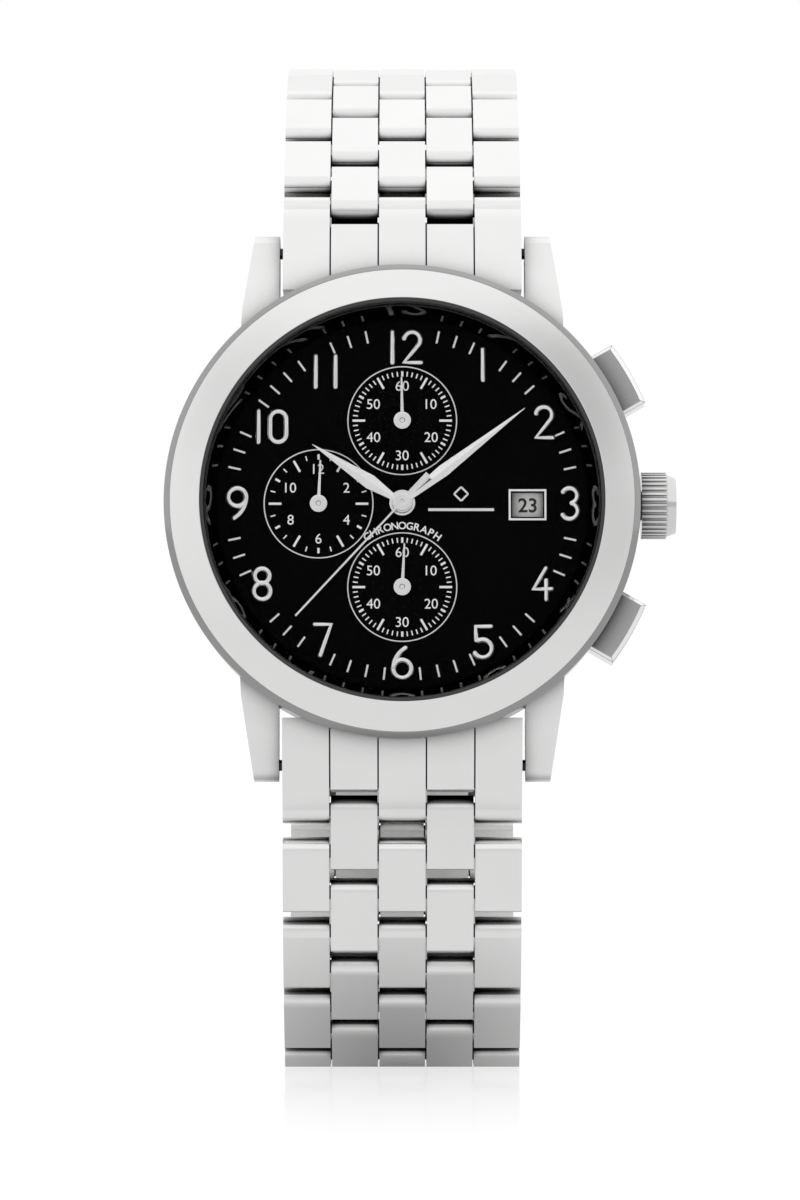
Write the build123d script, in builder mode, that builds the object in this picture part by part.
from math import cos, radians, sin
import os

from build123d import *

os.makedirs("parts", exist_ok=True)

# ---------------------------------------------------------------- driving dimensions (mm, degrees)
lean_back = 5.5
touch = 0.01
fit = 0.05

# bracelet: five columns of links on cross pins, two half-rows to a row
pin_pitch = 3.7
link_thickness = 2.5
column_pitch = 4.26
column_width = 4.12
pin_radius = 0.6
bore_radius = pin_radius + fit
pin_length = 20.9
square_end = 1.6
square_length = 3.0
square_depth = 1.55
square_round = 0.25
square_middle = pin_pitch / 2 + square_end - square_length / 2
outer_columns = (-2, 0, 2)
inner_columns = (-1, 1)
# headings of the half-rows: from straight up for the upper side, from straight down for the lower
upper_headings = (51, 48, 50, 57, 64, 69, 75, 81, 95, 110, 125, 139, 152, 163, 171, 176)
lower_headings = (1, 9, 19, 28, 36, 42, 46, 90, 90, 90, 94, 104, 116, 130, 144, 158, 168, 176)
resting_half_row = 7

# head, measured from the outer face of the case back along the dial's normal
end_pin_distance = 26.8
end_pin_level = 3.0
case_radius = 20.8
case_bottom = 1.0
case_top = 8.2
cavity_radius = 16.5
dial_bore_radius = 17.1
dial_ledge = 6.6
bezel_top = 11.0
bezel_rim = 10.1
bezel_radius = 21.0
bezel_face_radius = 20.5
bezel_inner_radius = 17.8
crystal_radius = 17.5
crystal_bottom = 9.4
crystal_top = 11.15
crystal_chamfer = 0.3
dial_radius = 16.9
dial_top = 7.0
flange_wall_radius = 16.4
flange_top_radius = 17.3
flange_foot = 7.3
subdial_offset = 7.4
subdial_radius = 4.9
subdial_depth = 0.1
back_radius = 19.4
gasket_band = (17.0, 17.6)
gasket_depth = 0.3

# lugs and spring bars
lug_inner = 10.9
lug_tip = 24.4
bar_distance = 22.9
bar_level = 3.0
bar_radius = 0.9
bar_tip_radius = 0.5
bar_half_length = 10.6
bar_tip_length = 1.1
bar_tip_end = lug_inner + bar_tip_length

# crown and pushers
stem_level = 5.2
stem_radius = 0.5
stem_end = 11.4
crown_radius = 2.95
crown_start = 21.15
crown_fluted_length = 2.2
crown_end = 24.2
crown_flutes = 36
tube_outer_radius = 1.3
tube_inner_radius = 0.62
pusher_angle = 30
pusher_width = 5.9
pusher_height = 3.8
pusher_level = 5.6
pusher_reach = 23.3
pusher_back = 20.35
pusher_stem_radius = 0.6
pusher_bore_radius = 0.66
pocket_floor = 19.4
pocket_gap = 0.12
pocket_length = 3.0
bore_start = cavity_radius - 1.0
bore_length = 6.0
pusher_stem_start = 17.4
pusher_groove = (21.3, 0.6)
stem_shoulder = 1.75
tube_start = 17.2
tube_length = 5.3
seal_start = 19.0
seal_outer_radius = 1.05

# case back, its screws and the cell
back_rim = (15.3, 16.4)
back_rim_height = 0.5
back_edge = 0.3
screw_circle = 18.5
screw_count = 4
screw_head_radius = 0.65
screw_shank_radius = 0.39
screw_head = (0.05, 0.45)
screw_shank_length = 1.7
screw_slot = (1.4, 0.2)
cell_radius = 4.75
cell_spot = (-6.0, -6.0)
cell_can = (1.7, 1.8)
cell_cap = (3.5, 0.3)
cell_step = 0.7
cell_gap = 0.3

# movement; each (level, thickness) pair is measured like the levels above
plate_bottom = 4.2
plate_top = 5.85
plate_radius = 13.4
holder_radius = 16.4
holder_band = (1.8, 4.0)
stem_slot = (2.1, 2.6)
bridge = (1.9, 0.4)
board = (3.65, 0.25)
coil_bearings = (70, 5, -65)
coil_start = (8.2, -2.6)
coil_level = 2.95
coil_radius = 0.6
coil_length = 5.2
coil_end = (2.0, 1.1)
coil_end_length = 0.6
pinion_teeth = 12
minute_wheel_teeth = 36
minute_pinion_teeth = 10
hour_wheel_teeth = 40
pinion_gear = (5.95, 0.27)
pinion_tube = (6.22, 2.08)
minute_gear = (6.0, 0.2)
minute_pinion_width = 0.32
hour_gear = (6.3, 0.2)
hour_tube_length = 1.25
wheel_distance = 3.0
wheel_bearing = 45
fast_module = 0.125
slow_module = 0.12
date_ring_inner = 10.5
date_ring_outer = 13.2
date_days = 31
date_window = (11.07, -0.1)
date_size = (2.73, 2.16)
date_ring_band = (6.05, 0.3)
date_notch = (0.8, 0.5)

# hands, clockwise from twelve, showing 10:08:37
hour_angle = 303.2
minute_angle = 52.3
second_angle = 222.9
counter_angles = (-1.0, 2.5, 2.8)
hour_hand_level = 7.55
minute_hand_level = 8.05
second_hand_level = 8.6
counter_hand_level = 7.1
hand_thickness = 0.2
second_thickness = 0.16
counter_thickness = 0.18
second_stick = (0.2, 13.8)
second_tail = (0.48, 2.9)
tail_middle = -1.9
arbor_radius = 0.2
counter_length = 3.85
counter_hub_radius = 0.77

# clasp, measured from the last lower pin towards the last upper pin
cover_hinge = 4.5
cover_hinge_height = 0.3
blade_hinge_gap = 8.5
blade_hinge_height = -0.3
cover_width = 18.0
cover_sheet = 1.0
blade_sheet = 0.7
blade_width = 12.6
knuckle_radius = 1.0
hinge_pin_radius = 0.5


# ---------------------------------------------------------------- frame and bracelet route
def walk(start, headings, upward):
    """Pin positions (y, z) reached from start along the half-row headings."""
    points = [start]
    for heading in headings:
        y, z = points[-1]
        rise = upward * pin_pitch * cos(radians(heading))
        points.append((y + pin_pitch * sin(radians(heading)), z + rise))
    return points


lean = radians(lean_back)
# the origin is on the outer face of the first half-row that rests flat
bends = [radians(heading) for heading in lower_headings[:resting_half_row]]
drop = link_thickness / 2 + sum(pin_pitch * cos(bend) for bend in bends)
reach = pin_pitch / 2 + sum(pin_pitch * sin(bend) for bend in bends)
head_z = drop + end_pin_distance * cos(lean) - end_pin_level * sin(lean)
head_y = end_pin_distance * sin(lean) + end_pin_level * cos(lean) - reach
watch = Plane(origin=(0, head_y, head_z), x_dir=(1, 0, 0), z_dir=(0, -cos(lean), sin(lean)))


def level(height):
    """Plane parallel to the dial at a height above the case back."""
    return watch.offset(height)


def spot(x, y, z):
    """World position of a point given in the head's own axes."""
    return watch.from_local_coords(Vector(x, y, z))


def spun(angle, height, x=0, y=0):
    """Plane parallel to the dial at a point, its x axis turned anticlockwise by angle."""
    along = watch.x_dir * cos(radians(angle)) + watch.y_dir * sin(radians(angle))
    return Plane(origin=spot(x, y, height), x_dir=along, z_dir=watch.z_dir)


def outward(angle, radius, height):
    """Plane facing out of the case side: x runs round the case, y along the dial's normal."""
    turned = spun(angle, height)
    origin = turned.from_local_coords(Vector(radius, 0, 0))
    return Plane(origin=origin, x_dir=turned.y_dir, z_dir=turned.x_dir)


def side(x, y=0, height=0, facing=1):
    """Plane across the head at a point: its x runs to twelve, and it faces +X or -X."""
    return Plane(origin=spot(x, y, height), x_dir=watch.y_dir, z_dir=watch.x_dir * facing)


section = Plane(origin=watch.origin, x_dir=watch.x_dir, z_dir=-watch.y_dir)
watch_axis = Axis(watch.origin, watch.z_dir)
upper_end = spot(0, end_pin_distance, end_pin_level)
lower_end = spot(0, -end_pin_distance, end_pin_level)
upper_pins = walk((upper_end.Y, upper_end.Z), upper_headings, 1)
lower_pins = walk((lower_end.Y, lower_end.Z), lower_headings, -1)


def save(piece, name):
    piece.part.label = name
    export_step(piece.part, f"parts/{name}.step")


def turned_part(name, *outlines):
    """Solid of revolution about the dial's axis from outlines of (radius, height) points."""
    with BuildPart() as piece:
        with BuildSketch(section):
            for outline in outlines:
                with BuildLine():
                    Polyline(*outline, close=True)
                make_face()
        revolve(axis=watch_axis)
    save(piece, name)


def box_outline(inner, outer, bottom, top):
    return ((inner, bottom), (outer, bottom), (outer, top), (inner, top))


def rod(plane, radius, length, mode=Mode.ADD):
    """Round bar or bore from a plane along its normal, in the part being built."""
    with BuildSketch(plane) as profile:
        Circle(radius)
    extrude(profile.sketch, amount=length, mode=mode)


# ---------------------------------------------------------------- case middle with its lugs
lug_crest = ((8.0, 7.9), (18.0, 7.2), (23.6, 4.9))
lug_foot = ((23.3, 1.5), (10.0, 1.2), (8.0, 1.2))
lug_plan = ((lug_inner, 8.0), (14.6, 8.0), (14.2, 17.0), (13.0, 25.0), (lug_inner, 25.0))

with BuildPart() as case_middle:
    with BuildSketch(side(0)):
        with BuildLine():
            Polyline(*lug_foot, lug_crest[0])
            ThreePointArc(*lug_crest)
            ThreePointArc(lug_crest[2], (lug_tip, 3.4), lug_foot[0])
        make_face()
        mirror(about=Plane.YZ)
    extrude(amount=case_radius, both=True)
    with BuildSketch(watch):
        with BuildLine():
            Polyline(*lug_plan, close=True)
        make_face()
        mirror(about=Plane.YZ)
        mirror(about=Plane.XZ)
    extrude(amount=case_top, mode=Mode.INTERSECT)
    for hand in (1, -1):
        for end in (1, -1):
            hole = side(hand * lug_inner, end * bar_distance, bar_level, hand)
            rod(hole, bar_tip_radius + fit, bar_tip_length + fit, Mode.SUBTRACT)
    with BuildSketch(level(case_bottom)):
        Circle(case_radius)
    extrude(amount=case_top - case_bottom)
    with BuildSketch(level(case_bottom)):
        Circle(cavity_radius)
    extrude(amount=case_top - case_bottom, mode=Mode.SUBTRACT)
    with BuildSketch(level(dial_ledge)):
        Circle(dial_bore_radius)
    extrude(amount=case_top - dial_ledge, mode=Mode.SUBTRACT)
    rod(outward(0, bore_start, stem_level), tube_outer_radius, bore_length, Mode.SUBTRACT)
    for angle in (pusher_angle, -pusher_angle):
        rod(outward(angle, bore_start, pusher_level), pusher_bore_radius, bore_length, Mode.SUBTRACT)
        with BuildSketch(outward(angle, pocket_floor, pusher_level)):
            Rectangle(pusher_width + 2 * pocket_gap, pusher_height + 2 * pocket_gap)
        extrude(amount=pocket_length, mode=Mode.SUBTRACT)
    with BuildSketch(level(case_bottom)):
        with PolarLocations(screw_circle, screw_count, start_angle=45):
            Circle(screw_shank_radius + touch)
    extrude(amount=screw_shank_length - back_rim_height + 0.1, mode=Mode.SUBTRACT)
save(case_middle, "case_middle")

# ---------------------------------------------------------------- bezel, crystal, flange, dial
turned_part(
    "bezel",
    (
        (bezel_inner_radius, case_top),
        (bezel_radius - 0.2, case_top),
        (bezel_radius, case_top + 0.6),
        (bezel_radius, bezel_rim - 0.65),
        (bezel_face_radius, bezel_rim),
        (bezel_inner_radius + 0.05, bezel_top),
        (bezel_inner_radius, bezel_top - 0.05),
    ),
)
turned_part(
    "crystal",
    (
        (0, crystal_bottom),
        (crystal_radius, crystal_bottom),
        (crystal_radius, crystal_top - crystal_chamfer),
        (crystal_radius - crystal_chamfer, crystal_top),
        (0, crystal_top),
    ),
)
turned_part(
    "crystal_gasket",
    box_outline(crystal_radius + touch, bezel_inner_radius - touch, crystal_bottom, bezel_top - 0.05),
)
turned_part(
    "inner_flange",
    (
        (flange_wall_radius, dial_top + touch),
        (dial_bore_radius - 0.1, dial_top + touch),
        (dial_bore_radius - 0.1, case_top),
        (bezel_inner_radius - 0.1, case_top),
        (bezel_inner_radius - 0.1, crystal_bottom - touch),
        (flange_top_radius, crystal_bottom - touch),
        (flange_wall_radius, flange_foot),
    ),
)

counter_spots = ((0, subdial_offset), (-subdial_offset, 0), (0, -subdial_offset))

with BuildPart() as dial:
    with BuildSketch(level(dial_ledge)):
        Circle(dial_radius)
    extrude(amount=dial_top - dial_ledge)
    with BuildSketch(level(dial_top - subdial_depth)):
        with Locations(*counter_spots):
            Circle(subdial_radius)
    extrude(amount=subdial_depth, mode=Mode.SUBTRACT)
    with BuildSketch(level(dial_ledge)):
        Circle(0.95)
        with Locations(*counter_spots):
            Circle(0.3)
        with Locations(date_window):
            Rectangle(*date_size)
    extrude(amount=dial_top - dial_ledge, mode=Mode.SUBTRACT)
save(dial, "dial")

# ---------------------------------------------------------------- applied hour numerals
numeral_radii = (14.3, 14.5, 14.8, 14.3, 14.2, 14.1, 14.0, 14.3, 14.6, 13.7, 13.6, 13.95)
numeral_height = 3.3
stroke = 0.55
numeral_relief = 0.25
digit_spacing = 1.76


def digit_path(digit, wide=0.72, tall=(numeral_height - stroke) / 2):
    """Centre line of one digit, drawn about the origin, half as wide and tall as given."""
    if digit == 1:
        Line((0.0, tall), (0.0, -tall))
    if digit == 2:
        top = CenterArc((0, tall - wide), wide, 170, -210)
        Polyline(top @ 1, (-wide, -tall), (wide + 0.05, -tall))
    if digit == 3:
        CenterArc((0, tall - 0.68), 0.68, 150, -225)
        CenterArc((0, -tall + 0.72), 0.72, 75, -225)
    if digit == 4:
        Polyline((0.0, tall), (-wide - 0.1, -0.45), (wide + 0.1, -0.45))
        Line((0.35, 0.3), (0.35, -tall))
    if digit == 5:
        Polyline((wide, tall), (-wide + 0.1, tall), (-wide + 0.1, 0.15))
        CenterArc((0, -tall + 0.8), 0.8, 120, -270)
    if digit == 6:
        CenterArc((0, -tall + 0.8), 0.8, 180, 358)
        ThreePointArc((-0.8, -tall + 0.8), (-0.55, 0.5), (0.35, tall))
    if digit == 7:
        Polyline((-wide, tall), (wide, tall), (-0.25, -tall))
    if digit == 8:
        CenterArc((0, tall - 0.66), 0.66, 0, 358)
        CenterArc((0, -tall + 0.74), 0.74, 90, 358)
    if digit == 9:
        CenterArc((0, tall - 0.8), 0.8, 0, 358)
        ThreePointArc((0.8, tall - 0.8), (0.55, -0.5), (-0.35, -tall))
    if digit == 0:
        CenterArc((0, tall - wide), wide, 0, 180)
        Line((-wide, tall - wide), (-wide, -tall + wide))
        CenterArc((0, -tall + wide), wide, 180, 180)
        Line((wide, -tall + wide), (wide, tall - wide - 0.1))


with BuildPart() as numerals:
    for hour, numeral_radius in enumerate(numeral_radii, 1):
        bearing = radians(30 * hour)
        digits = [int(letter) for letter in str(hour)]
        for place, digit in enumerate(digits):
            shift = (place - (len(digits) - 1) / 2) * digit_spacing
            x = numeral_radius * sin(bearing) + shift
            y = numeral_radius * cos(bearing)
            with BuildSketch(spun(0, dial_top, x, y)):
                with BuildLine(mode=Mode.PRIVATE) as path:
                    digit_path(digit)
                for edge in path.edges():
                    trace(edge, line_width=stroke)
                with Locations(*path.vertices()):
                    Circle(stroke / 2)
            extrude(amount=numeral_relief)
save(numerals, "applied_numerals")

# ---------------------------------------------------------------- case back, gaskets, screws, cell
with BuildPart() as case_back:
    with BuildSketch(watch):
        Circle(back_radius)
    extrude(amount=case_bottom)
    chamfer(case_back.faces().sort_by(watch_axis)[0].edges(), back_edge)
    with BuildSketch(level(case_bottom)):
        Circle(back_rim[1])
        Circle(back_rim[0], mode=Mode.SUBTRACT)
    extrude(amount=back_rim_height)
    with BuildSketch(level(case_bottom - gasket_depth)):
        Circle(gasket_band[1])
        Circle(gasket_band[0], mode=Mode.SUBTRACT)
    extrude(amount=gasket_depth, mode=Mode.SUBTRACT)
    for radius, depth in ((screw_head_radius, sum(screw_head)), (screw_shank_radius, case_bottom)):
        with BuildSketch(watch):
            with PolarLocations(screw_circle, screw_count, start_angle=45):
                Circle(radius + fit)
        extrude(amount=depth, mode=Mode.SUBTRACT)
save(case_back, "case_back")
turned_part(
    "case_back_gasket",
    box_outline(gasket_band[0] + touch, gasket_band[1] - touch, case_bottom - gasket_depth, case_bottom),
)
with BuildPart() as back_screws:
    with BuildSketch(level(screw_head[0])):
        with PolarLocations(screw_circle, screw_count, start_angle=45):
            Circle(screw_head_radius)
    extrude(amount=screw_head[1])
    with BuildSketch(level(sum(screw_head))):
        with PolarLocations(screw_circle, screw_count, start_angle=45):
            Circle(screw_shank_radius)
    extrude(amount=screw_shank_length)
    with BuildSketch(level(screw_head[0])):
        with PolarLocations(screw_circle, screw_count, start_angle=45):
            Rectangle(*screw_slot)
    extrude(amount=screw_slot[1], mode=Mode.SUBTRACT)
save(back_screws, "case_back_screws")
with BuildPart() as button_cell:
    for (bottom, height), radius in ((cell_can, cell_radius), (cell_cap, cell_radius - cell_step)):
        with BuildSketch(level(bottom)):
            with Locations(cell_spot):
                Circle(radius)
        extrude(amount=height)
save(button_cell, "button_cell")

# ---------------------------------------------------------------- movement
wheel_spot = (wheel_distance * cos(radians(wheel_bearing)), wheel_distance * sin(radians(wheel_bearing)))


def toothed_disc(plane, teeth, module, thickness, first_tooth):
    """Gear blank with straight-flanked teeth, cut thin for backlash."""
    pitch_radius = teeth * module / 2
    root = pitch_radius - 1.25 * module
    tip = pitch_radius + 0.85 * module
    with BuildSketch(plane) as profile:
        Circle(root)
        with PolarLocations((root + tip) / 2 - 0.02, teeth, start_angle=first_tooth):
            Trapezoid(1.7 * module, tip - root + 0.04, 76, rotation=-90)
    extrude(profile.sketch, amount=thickness)


with BuildPart() as movement_plate:
    with BuildSketch(level(plate_bottom)):
        Circle(plate_radius)
    extrude(amount=plate_top - plate_bottom)
    with BuildSketch(level(plate_bottom)):
        with Locations((14.4, 0)):
            Rectangle(6.4, 2.1)
        Circle(0.3)
        with Locations(wheel_spot):
            Circle(0.2)
        with Locations(*counter_spots):
            Circle(0.25)
    extrude(amount=plate_top - plate_bottom, mode=Mode.SUBTRACT)
save(movement_plate, "movement_plate")

with BuildPart() as movement_holder:
    with BuildSketch(level(holder_band[0])):
        Circle(holder_radius)
        Circle(plate_radius + 0.1, mode=Mode.SUBTRACT)
    extrude(amount=holder_band[1])
    with BuildSketch(outward(0, plate_radius - 1, stem_level)):
        Rectangle(*stem_slot)
    extrude(amount=holder_radius - plate_radius + 2, mode=Mode.SUBTRACT)
save(movement_holder, "movement_holder")

with BuildPart() as train_bridge:
    with BuildSketch(level(bridge[0])):
        Circle(plate_radius - 0.2)
        with Locations(cell_spot):
            Circle(cell_radius + cell_gap, mode=Mode.SUBTRACT)
    extrude(amount=bridge[1])
save(train_bridge, "train_bridge")

with BuildPart() as circuit_board:
    with BuildSketch(level(board[0])):
        Circle(plate_radius - 0.3)
        with Locations(cell_spot):
            Circle(cell_radius + cell_gap, mode=Mode.SUBTRACT)
    extrude(amount=board[1])
save(circuit_board, "circuit_board")

with BuildPart() as motors:
    for bearing in coil_bearings:
        turned = spun(bearing, coil_level)
        origin = turned.from_local_coords(Vector(*coil_start))
        coil_plane = Plane(origin=origin, x_dir=turned.x_dir, z_dir=turned.y_dir)
        rod(coil_plane, coil_radius, coil_length)
        with BuildSketch(coil_plane.offset(-coil_end_length), coil_plane.offset(coil_length)):
            Rectangle(*coil_end)
        extrude(amount=coil_end_length)
save(motors, "stepper_motors")

with BuildPart() as cannon_pinion:
    toothed_disc(level(pinion_gear[0]), pinion_teeth, fast_module, pinion_gear[1], wheel_bearing)
    rod(level(pinion_tube[0]), 0.5, pinion_tube[1])
    rod(level(pinion_gear[0]), 0.27, 2.4, Mode.SUBTRACT)
save(cannon_pinion, "cannon_pinion")

with BuildPart() as minute_wheel:
    wheel_plane = spun(0, minute_gear[0], *wheel_spot)
    back_bearing = wheel_bearing + 180
    half_tooth = 180 / minute_wheel_teeth
    toothed_disc(wheel_plane, minute_wheel_teeth, fast_module, minute_gear[1], back_bearing + half_tooth)
    pinion_plane = wheel_plane.offset(minute_gear[1])
    toothed_disc(pinion_plane, minute_pinion_teeth, slow_module, minute_pinion_width, back_bearing)
    rod(wheel_plane.offset(-1.0), 0.15, 1.1)
save(minute_wheel, "minute_wheel")

with BuildPart() as hour_wheel:
    half_tooth = 180 / hour_wheel_teeth
    first_tooth = wheel_bearing + half_tooth
    toothed_disc(level(hour_gear[0]), hour_wheel_teeth, slow_module, hour_gear[1], first_tooth)
    rod(level(sum(hour_gear)), 0.85, hour_tube_length)
    rod(level(hour_gear[0]), 0.57, hour_tube_length + hour_gear[1] + fit, Mode.SUBTRACT)
save(hour_wheel, "hour_wheel")

with BuildPart() as date_ring:
    with BuildSketch(level(date_ring_band[0])):
        Circle(date_ring_outer)
        Circle(date_ring_inner, mode=Mode.SUBTRACT)
        with PolarLocations(date_ring_inner, date_days):
            Rectangle(*date_notch)
    extrude(amount=date_ring_band[1])
save(date_ring, "date_ring")


# ---------------------------------------------------------------- hands
def hand_plane(x, y, height, clockwise):
    """Plane at a hand's hub whose y axis points along the hand."""
    return spun(-clockwise, height, x, y)


def leaf(length, width, widest):
    """Leaf-shaped blade from the hub to the tip."""
    with BuildLine() as outline:
        Polyline((-0.3, 0.3), (-width / 2, widest), (0, length))
        Polyline((0, length), (width / 2, widest), (0.3, 0.3), (-0.3, 0.3))
    make_face(outline.line)


with BuildPart() as hour_hand:
    with BuildSketch(hand_plane(0, 0, hour_hand_level, hour_angle)):
        Circle(1.12)
        leaf(9.5, 1.2, 2.6)
        Circle(0.86, mode=Mode.SUBTRACT)
    extrude(amount=hand_thickness)
save(hour_hand, "hour_hand")

with BuildPart() as minute_hand:
    with BuildSketch(hand_plane(0, 0, minute_hand_level, minute_angle)):
        Circle(0.9)
        leaf(13.7, 1.06, 2.8)
        Circle(0.51, mode=Mode.SUBTRACT)
    extrude(amount=hand_thickness)
save(minute_hand, "minute_hand")

with BuildPart() as second_hand:
    with BuildSketch(hand_plane(0, 0, second_hand_level, second_angle)):
        Circle(0.8)
        with Locations((0, second_stick[1] / 2)):
            Rectangle(*second_stick)
        with Locations((0, tail_middle)):
            Rectangle(*second_tail)
    extrude(amount=second_thickness)
    rod(level(plate_bottom + 0.8), arbor_radius, second_hand_level - plate_bottom - 0.7)
save(second_hand, "second_hand")

counter_names = ("minute_counter_hand", "hour_counter_hand", "seconds_counter_hand")
for counter, name in enumerate(counter_names):
    with BuildPart() as counter_hand:
        x, y = counter_spots[counter]
        with BuildSketch(hand_plane(x, y, counter_hand_level, counter_angles[counter])):
            Circle(counter_hub_radius)
            with BuildLine():
                Polyline((-0.14, 0), (-0.09, counter_length), (0.09, counter_length), (0.14, 0), close=True)
            make_face()
        extrude(amount=counter_thickness)
        rod(hand_plane(x, y, plate_bottom + 1.0, 0), arbor_radius, counter_hand_level - plate_bottom - 0.95)
    save(counter_hand, name)

# ---------------------------------------------------------------- crown, stem and pushers
with BuildPart() as crown:
    with BuildSketch(outward(0, crown_start, stem_level)):
        Circle(crown_radius)
        with PolarLocations(crown_radius, crown_flutes):
            Circle(0.14, mode=Mode.SUBTRACT)
    extrude(amount=crown_fluted_length)
    with BuildSketch(outward(0, crown_start + crown_fluted_length, stem_level)):
        Circle(crown_radius - 0.15)
    extrude(amount=crown_end - crown_start - crown_fluted_length, taper=22)
    rod(outward(0, crown_start, stem_level), tube_outer_radius + 0.12, stem_shoulder, Mode.SUBTRACT)
save(crown, "crown")

with BuildPart() as winding_stem:
    rod(outward(0, stem_end, stem_level), stem_radius, crown_start + stem_shoulder - stem_end)
save(winding_stem, "winding_stem")

with BuildPart() as setting_lever:
    with BuildSketch(outward(0, 11.9, stem_level)):
        Circle(0.72)
        with Locations((0, -0.85)):
            Rectangle(0.6, 0.7)
        Circle(stem_radius + fit, mode=Mode.SUBTRACT)
    extrude(amount=0.4)
save(setting_lever, "setting_lever")

with BuildPart() as crown_tube:
    rod(outward(0, tube_start, stem_level), tube_outer_radius - touch, tube_length)
    rod(outward(0, tube_start, stem_level), tube_inner_radius, tube_length, Mode.SUBTRACT)
    with BuildSketch(outward(0, seal_start, stem_level)):
        Circle(seal_outer_radius)
    extrude(amount=0.5, mode=Mode.SUBTRACT)
save(crown_tube, "crown_tube")

with BuildPart() as crown_seal:
    with BuildSketch(outward(0, seal_start + touch, stem_level)):
        Circle(seal_outer_radius - touch)
        Circle(stem_radius + 0.03, mode=Mode.SUBTRACT)
    extrude(amount=0.46)
save(crown_seal, "crown_seal")

pusher_shoulder = (pusher_reach**2 - (pusher_width / 2) ** 2) ** 0.5
pusher_names = {pusher_angle: "upper_pusher", -pusher_angle: "lower_pusher"}
for angle, name in pusher_names.items():
    with BuildPart() as pusher:
        with BuildSketch(spun(angle, pusher_level - pusher_height / 2)):
            with BuildLine():
                Polyline(
                    (pusher_shoulder, pusher_width / 2),
                    (pusher_back, pusher_width / 2),
                    (pusher_back, -pusher_width / 2),
                    (pusher_shoulder, -pusher_width / 2),
                )
                ThreePointArc(
                    (pusher_shoulder, -pusher_width / 2),
                    (pusher_reach, 0),
                    (pusher_shoulder, pusher_width / 2),
                )
            make_face()
        extrude(amount=pusher_height)
        with BuildSketch(outward(angle, pusher_groove[0], pusher_level + pusher_height / 2 - 0.15)):
            Rectangle(pusher_width - 1.2, pusher_groove[1])
        extrude(amount=1.0, mode=Mode.SUBTRACT)
        stem_plane = outward(angle, pusher_stem_start, pusher_level)
        rod(stem_plane, pusher_stem_radius, pusher_back - pusher_stem_start)
    save(pusher, name)


# ---------------------------------------------------------------- end links and spring bars
link_crest = ((19.0, 7.7), (23.4, 6.5))
segment_end = 25.2
core_spot = (22.1, 3.3)
core_size = (5.9, 3.1)
under = end_pin_level - link_thickness / 2
over = end_pin_level + link_thickness / 2
link_width = 2 * column_pitch + column_width / 2
for end, name in ((1, "upper_end_link"), (-1, "lower_end_link")):
    with BuildPart() as end_link:
        for column in range(-2, 3):
            start = column * column_pitch - column_width / 2
            with BuildSketch(side(start)):
                with BuildLine():
                    Polyline(
                        (end * end_pin_distance, under),
                        (end * link_crest[0][0], under),
                        (end * link_crest[0][0], link_crest[0][1]),
                    )
                    ThreePointArc(
                        (end * link_crest[0][0], link_crest[0][1]),
                        (end * link_crest[1][0], link_crest[1][1]),
                        (end * end_pin_distance, over),
                    )
                    ThreePointArc(
                        (end * end_pin_distance, over),
                        (end * (end_pin_distance + link_thickness / 2), end_pin_level),
                        (end * end_pin_distance, under),
                    )
                make_face()
                if column in inner_columns:
                    with Locations((end * (segment_end + 2), end_pin_level)):
                        Rectangle(4, 4 * link_thickness, mode=Mode.SUBTRACT)
            extrude(amount=column_width)
        with BuildSketch(side(-link_width)):
            with Locations((end * core_spot[0], core_spot[1])):
                Rectangle(*core_size)
        extrude(amount=2 * link_width)
        pin_side = side(-link_width, end * end_pin_distance, end_pin_level)
        bar_side = side(-link_width, end * bar_distance, bar_level)
        rod(pin_side, bore_radius, 2 * link_width, Mode.SUBTRACT)
        rod(bar_side, bar_radius + fit, 2 * link_width, Mode.SUBTRACT)
        rod(watch, case_radius + 0.1, bezel_top, Mode.SUBTRACT)
    save(end_link, name)

with BuildPart() as spring_bars:
    for end in (1, -1):
        for radius, half_length in ((bar_radius, bar_half_length), (bar_tip_radius, bar_tip_end)):
            rod(side(-half_length, end * bar_distance, bar_level), radius, 2 * half_length)
save(spring_bars, "spring_bars")


# ---------------------------------------------------------------- bracelet rows
def across(x, point, ahead=(1, 0)):
    """Plane across the bracelet at x, centred on a (y, z) point, its x axis along ahead."""
    return Plane(origin=(x, *point), x_dir=(0, *ahead), z_dir=(1, 0, 0))


def half_row(start, end, columns, outer_side):
    """Links of one half-row, between two neighbouring pins.

    The end nearer the head is round, and the far end is square on the outer side, 1 or -1.
    With outer_side 0 both ends are round."""
    middle = ((start[0] + end[0]) / 2, (start[1] + end[1]) / 2)
    ahead = (end[0] - start[0], end[1] - start[1])
    planes = [across(c * column_pitch - column_width / 2, middle, ahead) for c in columns]
    with BuildSketch(*planes) as profile:
        SlotCenterToCenter(pin_pitch, link_thickness)
        if outer_side:
            with Locations((square_middle, outer_side * (link_thickness - square_depth) / 2)):
                RectangleRounded(square_length, square_depth, square_round)
        with Locations((-pin_pitch / 2, 0), (pin_pitch / 2, 0)):
            Circle(bore_radius, mode=Mode.SUBTRACT)
    extrude(profile.sketch, amount=column_width)


for side_name, pins, outer_side in (("upper", upper_pins, 1), ("lower", lower_pins, -1)):
    for row in range(len(pins) // 2):
        first, middle, last = pins[2 * row : 2 * row + 3]
        # the last sloping half-row before the resting one stays round, clear of the surface
        last_sloping = side_name == "lower" and 2 * row + 1 == resting_half_row
        with BuildPart() as bracelet_row:
            half_row(first, middle, inner_columns, 0 if last_sloping else outer_side)
            half_row(middle, last, outer_columns, outer_side)
            for pin in (first, middle):
                rod(across(-pin_length / 2, pin), pin_radius, pin_length)
        save(bracelet_row, f"{side_name}_row_{row + 1}")

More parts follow.
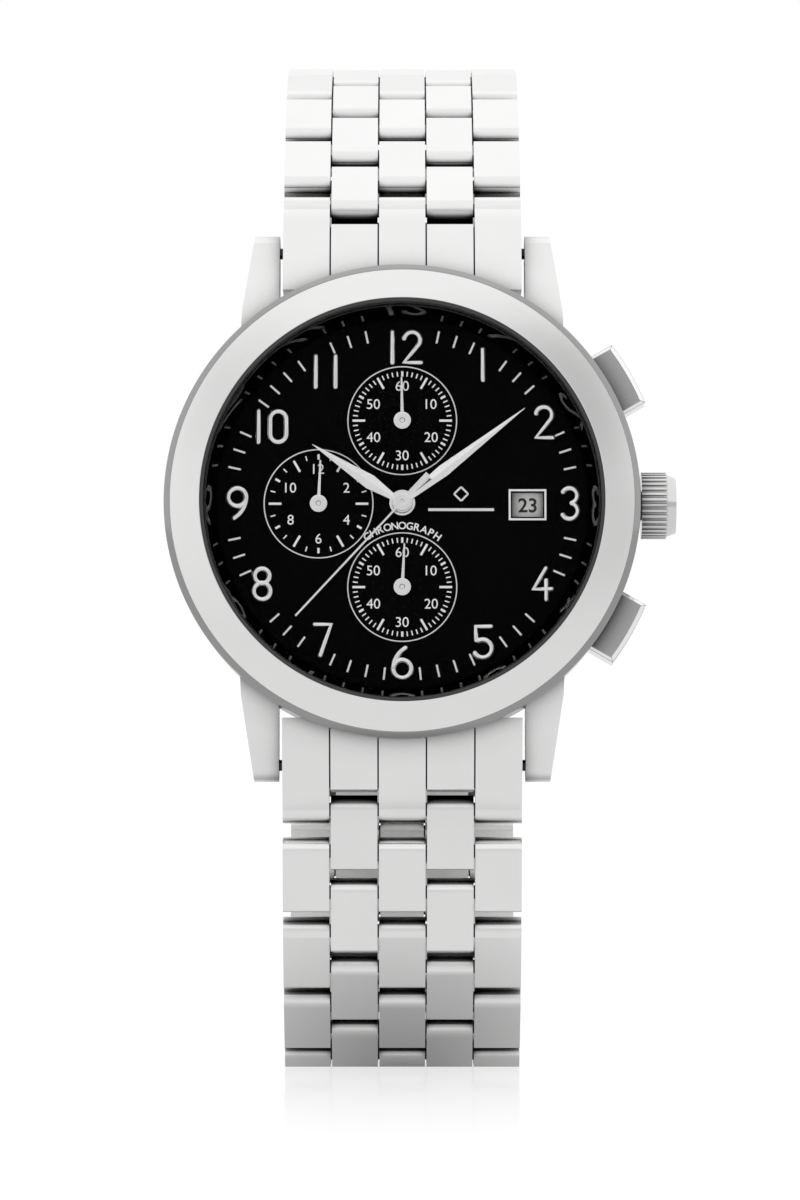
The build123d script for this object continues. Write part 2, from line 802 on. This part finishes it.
# ---------------------------------------------------------------- folding clasp
clasp_start = Vector(0, *lower_pins[-1])
clasp_end = Vector(0, *upper_pins[-1])
clasp_length = (clasp_end - clasp_start).length
clasp = Plane(origin=clasp_start, x_dir=clasp_end - clasp_start, z_dir=(1, 0, 0))
clasp_out = -1 if clasp.y_dir.Y < 0 else 1
blade_hinge = clasp_length - blade_hinge_gap


def clasp_plane(x):
    """Plane across the clasp: x towards the last upper pin, y away from the wrist."""
    normal = (clasp_out, 0, 0)
    return Plane(origin=clasp_start + Vector(x * clasp_out, 0, 0), x_dir=clasp.x_dir, z_dir=normal)


def clasp_slab(width, *outlines, mode=Mode.ADD):
    """Prism right across the clasp, centred, from outlines of (along, away) points."""
    with BuildSketch(clasp_plane(-width / 2)) as profile:
        for outline in outlines:
            with BuildLine():
                Polyline(*outline, close=True)
            make_face()
    extrude(profile.sketch, amount=width, mode=mode)


def clasp_round(along, away, radius, start, width, mode=Mode.ADD):
    """Round barrel or bore along the clasp's width."""
    with BuildSketch(clasp_plane(start)) as profile:
        with Locations((along, away)):
            Circle(radius)
    extrude(profile.sketch, amount=width, mode=mode)


cover_low = cover_hinge - 1.0
cover_high = blade_hinge + 5.0
cover_under = 1.3
cover_over = cover_under + cover_sheet
cover_foot = -1.2
wall = 1.0
wall_starts = (-cover_width / 2, cover_width / 2 - wall)
tab_trim = 0.02
button_along = clasp_length / 2
button_away = -0.1
button_flange = (1.1, 0.6)
button_radius = 0.78
button_start = 7.2
button_reach = 9.9
button_edge = 0.15
button_gap = 0.07
middle_away = (-0.65, -0.65 + blade_sheet)
end_away = (-2.1, -2.1 + blade_sheet)
knuckle_width = 4.0
knuckle_starts = (-blade_width / 2, 2.3)
middle_knuckle = (-2.0, 4.0)

with BuildPart() as clasp_cover:
    clasp_slab(cover_width, box_outline(cover_low, cover_high, cover_under, cover_over))
    for start in wall_starts:
        with BuildSketch(clasp_plane(start)):
            with BuildLine():
                Polyline(*box_outline(cover_low, cover_high, cover_foot, cover_over), close=True)
            make_face()
        extrude(amount=wall)
    for column in inner_columns:
        start = column * column_pitch - column_width / 2
        with BuildSketch(clasp_plane(start)):
            with BuildLine():
                Polyline(
                    (clasp_length, tab_trim - link_thickness / 2),
                    (clasp_length - 0.8, tab_trim - link_thickness / 2),
                    (cover_high - 1.5, cover_under),
                    (cover_high - 1.5, cover_over),
                    (cover_high + 0.6, cover_over),
                    (clasp_length, link_thickness / 2 - tab_trim),
                    close=True,
                )
            make_face()
            with Locations((clasp_length, 0)):
                Circle(link_thickness / 2)
                Circle(pin_radius + 0.2, mode=Mode.SUBTRACT)
        extrude(amount=column_width)
    for start in wall_starts:
        clasp_round(cover_hinge, cover_hinge_height, hinge_pin_radius + touch, start, wall, Mode.SUBTRACT)
        clasp_round(button_along, button_away, button_radius + button_gap, start, wall, Mode.SUBTRACT)
save(clasp_cover, "clasp_cover")

with BuildPart() as cover_hinge_pin:
    clasp_round(cover_hinge, cover_hinge_height, hinge_pin_radius, -cover_width / 2, cover_width)
save(cover_hinge_pin, "cover_hinge_pin")

middle_bore = hinge_pin_radius + fit
with BuildPart() as clasp_middle_blade:
    clasp_slab(blade_width, box_outline(cover_hinge + 0.4, blade_hinge - 0.4, *middle_away))
    clasp_round(cover_hinge, cover_hinge_height, knuckle_radius - 0.15, -blade_width / 2, blade_width)
    clasp_round(blade_hinge, blade_hinge_height, knuckle_radius, *middle_knuckle)
    for start in (-blade_width / 2, middle_knuckle[0] + middle_knuckle[1]):
        clasp_round(blade_hinge, blade_hinge_height, knuckle_radius + 0.3, start, 4.3, Mode.SUBTRACT)
    clasp_round(cover_hinge, cover_hinge_height, middle_bore, -blade_width / 2, blade_width, Mode.SUBTRACT)
    clasp_round(blade_hinge, blade_hinge_height, middle_bore, *middle_knuckle, mode=Mode.SUBTRACT)
save(clasp_middle_blade, "clasp_middle_blade")

with BuildPart() as clasp_end_blade:
    clasp_slab(blade_width, box_outline(2.2, blade_hinge + 0.2, *end_away))
    for start in knuckle_starts:
        clasp_round(blade_hinge, blade_hinge_height, knuckle_radius, start, knuckle_width)
        with BuildSketch(clasp_plane(start)):
            with BuildLine():
                Polyline(*box_outline(blade_hinge - 0.9, blade_hinge + 0.2, end_away[0], -0.4), close=True)
            make_face()
        extrude(amount=knuckle_width)
    for column in inner_columns:
        with BuildSketch(clasp_plane(column * column_pitch - column_width / 2)):
            with BuildLine():
                Polyline((0, -1.23), (0.6, end_away[0]), (2.6, end_away[0]))
                Polyline((2.6, end_away[0]), (2.6, end_away[1]), (1.0, 0.7), (0, -1.23))
            make_face()
            Circle(link_thickness / 2)
            Circle(bore_radius, mode=Mode.SUBTRACT)
        extrude(amount=column_width)
    pin_seat = hinge_pin_radius + touch
    for start in knuckle_starts:
        clasp_round(blade_hinge, blade_hinge_height, pin_seat, start, knuckle_width, Mode.SUBTRACT)
save(clasp_end_blade, "clasp_end_blade")

with BuildPart() as blade_pins:
    clasp_round(blade_hinge, blade_hinge_height, hinge_pin_radius, -blade_width / 2, blade_width)
    clasp_round(0, 0, pin_radius, -pin_length / 2, pin_length)
save(blade_pins, "end_blade_pins")

for hand, name in ((-1, "left_clasp_button"), (1, "right_clasp_button")):
    with BuildPart() as clasp_button:
        plane = clasp_plane(0)
        centre = plane.from_local_coords(Vector(button_along, button_away, 0))
        origin = centre + Vector(hand * button_start, 0, 0)
        facing = Plane(origin=origin, x_dir=plane.x_dir, z_dir=(hand, 0, 0))
        rod(facing, *button_flange)
        rod(facing, button_radius, button_reach - button_start)
        chamfer(clasp_button.faces().sort_by(Axis.X)[-1 if hand > 0 else 0].edges(), button_edge)
    save(clasp_button, name)

for pins, label in ((upper_pins, "upper"), (lower_pins, "lower")):
    print(label, [(round(y, 4), round(z, 4)) for y, z in pins])
print("head", round(head_y, 5), round(head_z, 5), "clasp length", round(clasp_length, 4))
